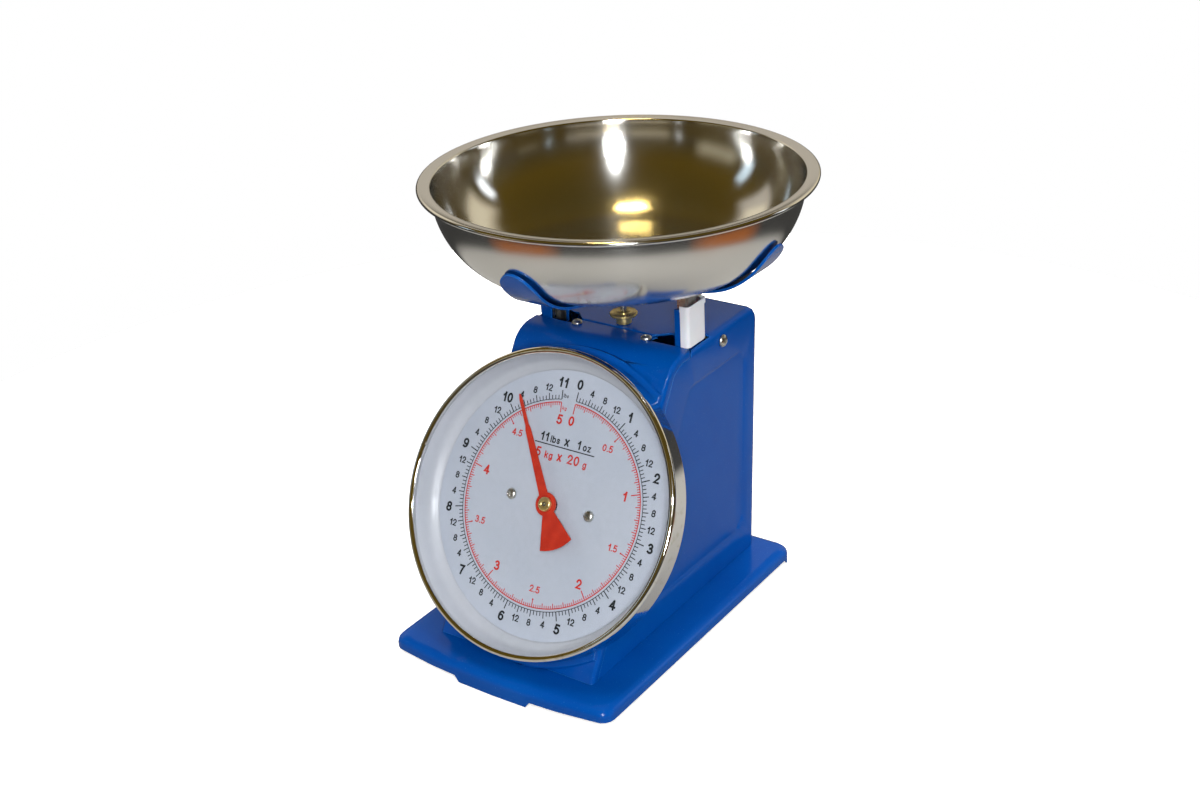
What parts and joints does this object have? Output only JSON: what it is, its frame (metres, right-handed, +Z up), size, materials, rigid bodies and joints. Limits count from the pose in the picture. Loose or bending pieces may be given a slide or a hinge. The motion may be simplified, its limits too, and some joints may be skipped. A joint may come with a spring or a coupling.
{
  "type": "kitchen scale",
  "caption": "Mechanical spring scale with a leaning round dial on a wedge housing, two side posts and a round bowl on an eared cross plate.",
  "frame": {"origin": "on the table under the middle of the object's box", "axes": "+Z up, -Y towards the person who reads the dial, +X to that person's right"},
  "size_m": [0.23, 0.266, 0.2689],
  "materials": {
    "blue_paint": "gloss",
    "stainless_steel": "polished",
    "chrome": "mirror",
    "zinc_plated_steel": "satin",
    "spring_steel": "satin",
    "brass": "satin",
    "white_plastic": "gloss",
    "white_enamel": "gloss",
    "printed_face": "satin",
    "red_paint": "satin",
    "rubber": "matte",
    "clear_plastic": "clear"
  },
  "bodies": {
    "housing": {"base_plate": "blue_paint", "base_screw_1": "zinc_plated_steel", "base_screw_2": "zinc_plated_steel", "base_screw_3": "zinc_plated_steel", "base_screw_4": "zinc_plated_steel", "foot_pad_front": "rubber", "foot_pad_rear_left": "rubber", "foot_pad_rear_right": "rubber", "housing_shell": "blue_paint", "front_panel": "blue_paint", "panel_screw_left": "zinc_plated_steel", "panel_screw_right": "zinc_plated_steel", "side_screw_left": "zinc_plated_steel", "side_screw_right": "zinc_plated_steel", "dial_case": "white_enamel", "dial_face": "printed_face", "face_screw_left": "zinc_plated_steel", "face_screw_right": "zinc_plated_steel", "bezel": "chrome", "lens": "clear_plastic", "movement_bridge": "zinc_plated_steel", "top_beam": "zinc_plated_steel", "spring_hanger": "zinc_plated_steel", "spring_left": "spring_steel", "spring_right": "spring_steel", "link_rod": "zinc_plated_steel"},
    "platform": {"cross_plate": "blue_paint", "post_left": "blue_paint", "post_right": "blue_paint", "post_sleeve": "white_plastic", "post_bracket_left": "zinc_plated_steel", "post_bracket_right": "zinc_plated_steel", "bracket_screw_left": "zinc_plated_steel", "bracket_screw_right": "zinc_plated_steel", "carriage": "zinc_plated_steel"},
    "bowl": {"bowl": "stainless_steel"},
    "pointer": {"pointer": "red_paint", "pointer_hub": "brass", "pinion_shaft": "zinc_plated_steel"},
    "rack": {"rack": "zinc_plated_steel"},
    "zero_knob": {"zero_knob": "brass"},
    "check_link": {"check_link": "zinc_plated_steel"}
  },
  "joints": [
    {"name": "platform_slide", "type": "slide", "parent": "housing", "child": "platform", "axis": [0, 0, -1], "range_m": [0, 0.02], "stiffness_N_per_m": 2680, "springref_m": -0.0035, "deforming": ["spring_left", "spring_right"]},
    {"name": "bowl_lift", "type": "slide", "parent": "platform", "child": "bowl", "axis": [0, 0, 1], "range_m": [0, 0.08]},
    {"name": "pointer_turn", "type": "hinge", "parent": "housing", "child": "pointer", "pos_m": [0, -0.0812, 0.101], "axis": [0, 0.866, -0.5], "range_deg": [0, 383.05]},
    {"name": "rack_slide", "type": "slide", "parent": "housing", "child": "rack", "axis": [0, -0.5, -0.866], "range_m": [0, 0.02311]},
    {"name": "zero_turn", "type": "hinge", "parent": "housing", "child": "zero_knob", "pos_m": [0, 0.017, 0.18], "axis": [0, 0, 1], "range_deg": [-720, 720]},
    {"name": "check_link_turn", "type": "hinge", "parent": "housing", "child": "check_link", "pos_m": [0, 0.053, 0.057], "axis": [1, 0, 0], "range_deg": [0, 29.54]}
  ],
  "couplings": [
    {"joint": "pointer_turn", "follows": "platform_slide", "rad_per_m": 334.23},
    {"joint": "rack_slide", "follows": "platform_slide", "ratio": 1.1547},
    {"joint": "check_link_turn", "follows": "platform_slide", "rad_per_m": 25.732}
  ]
}
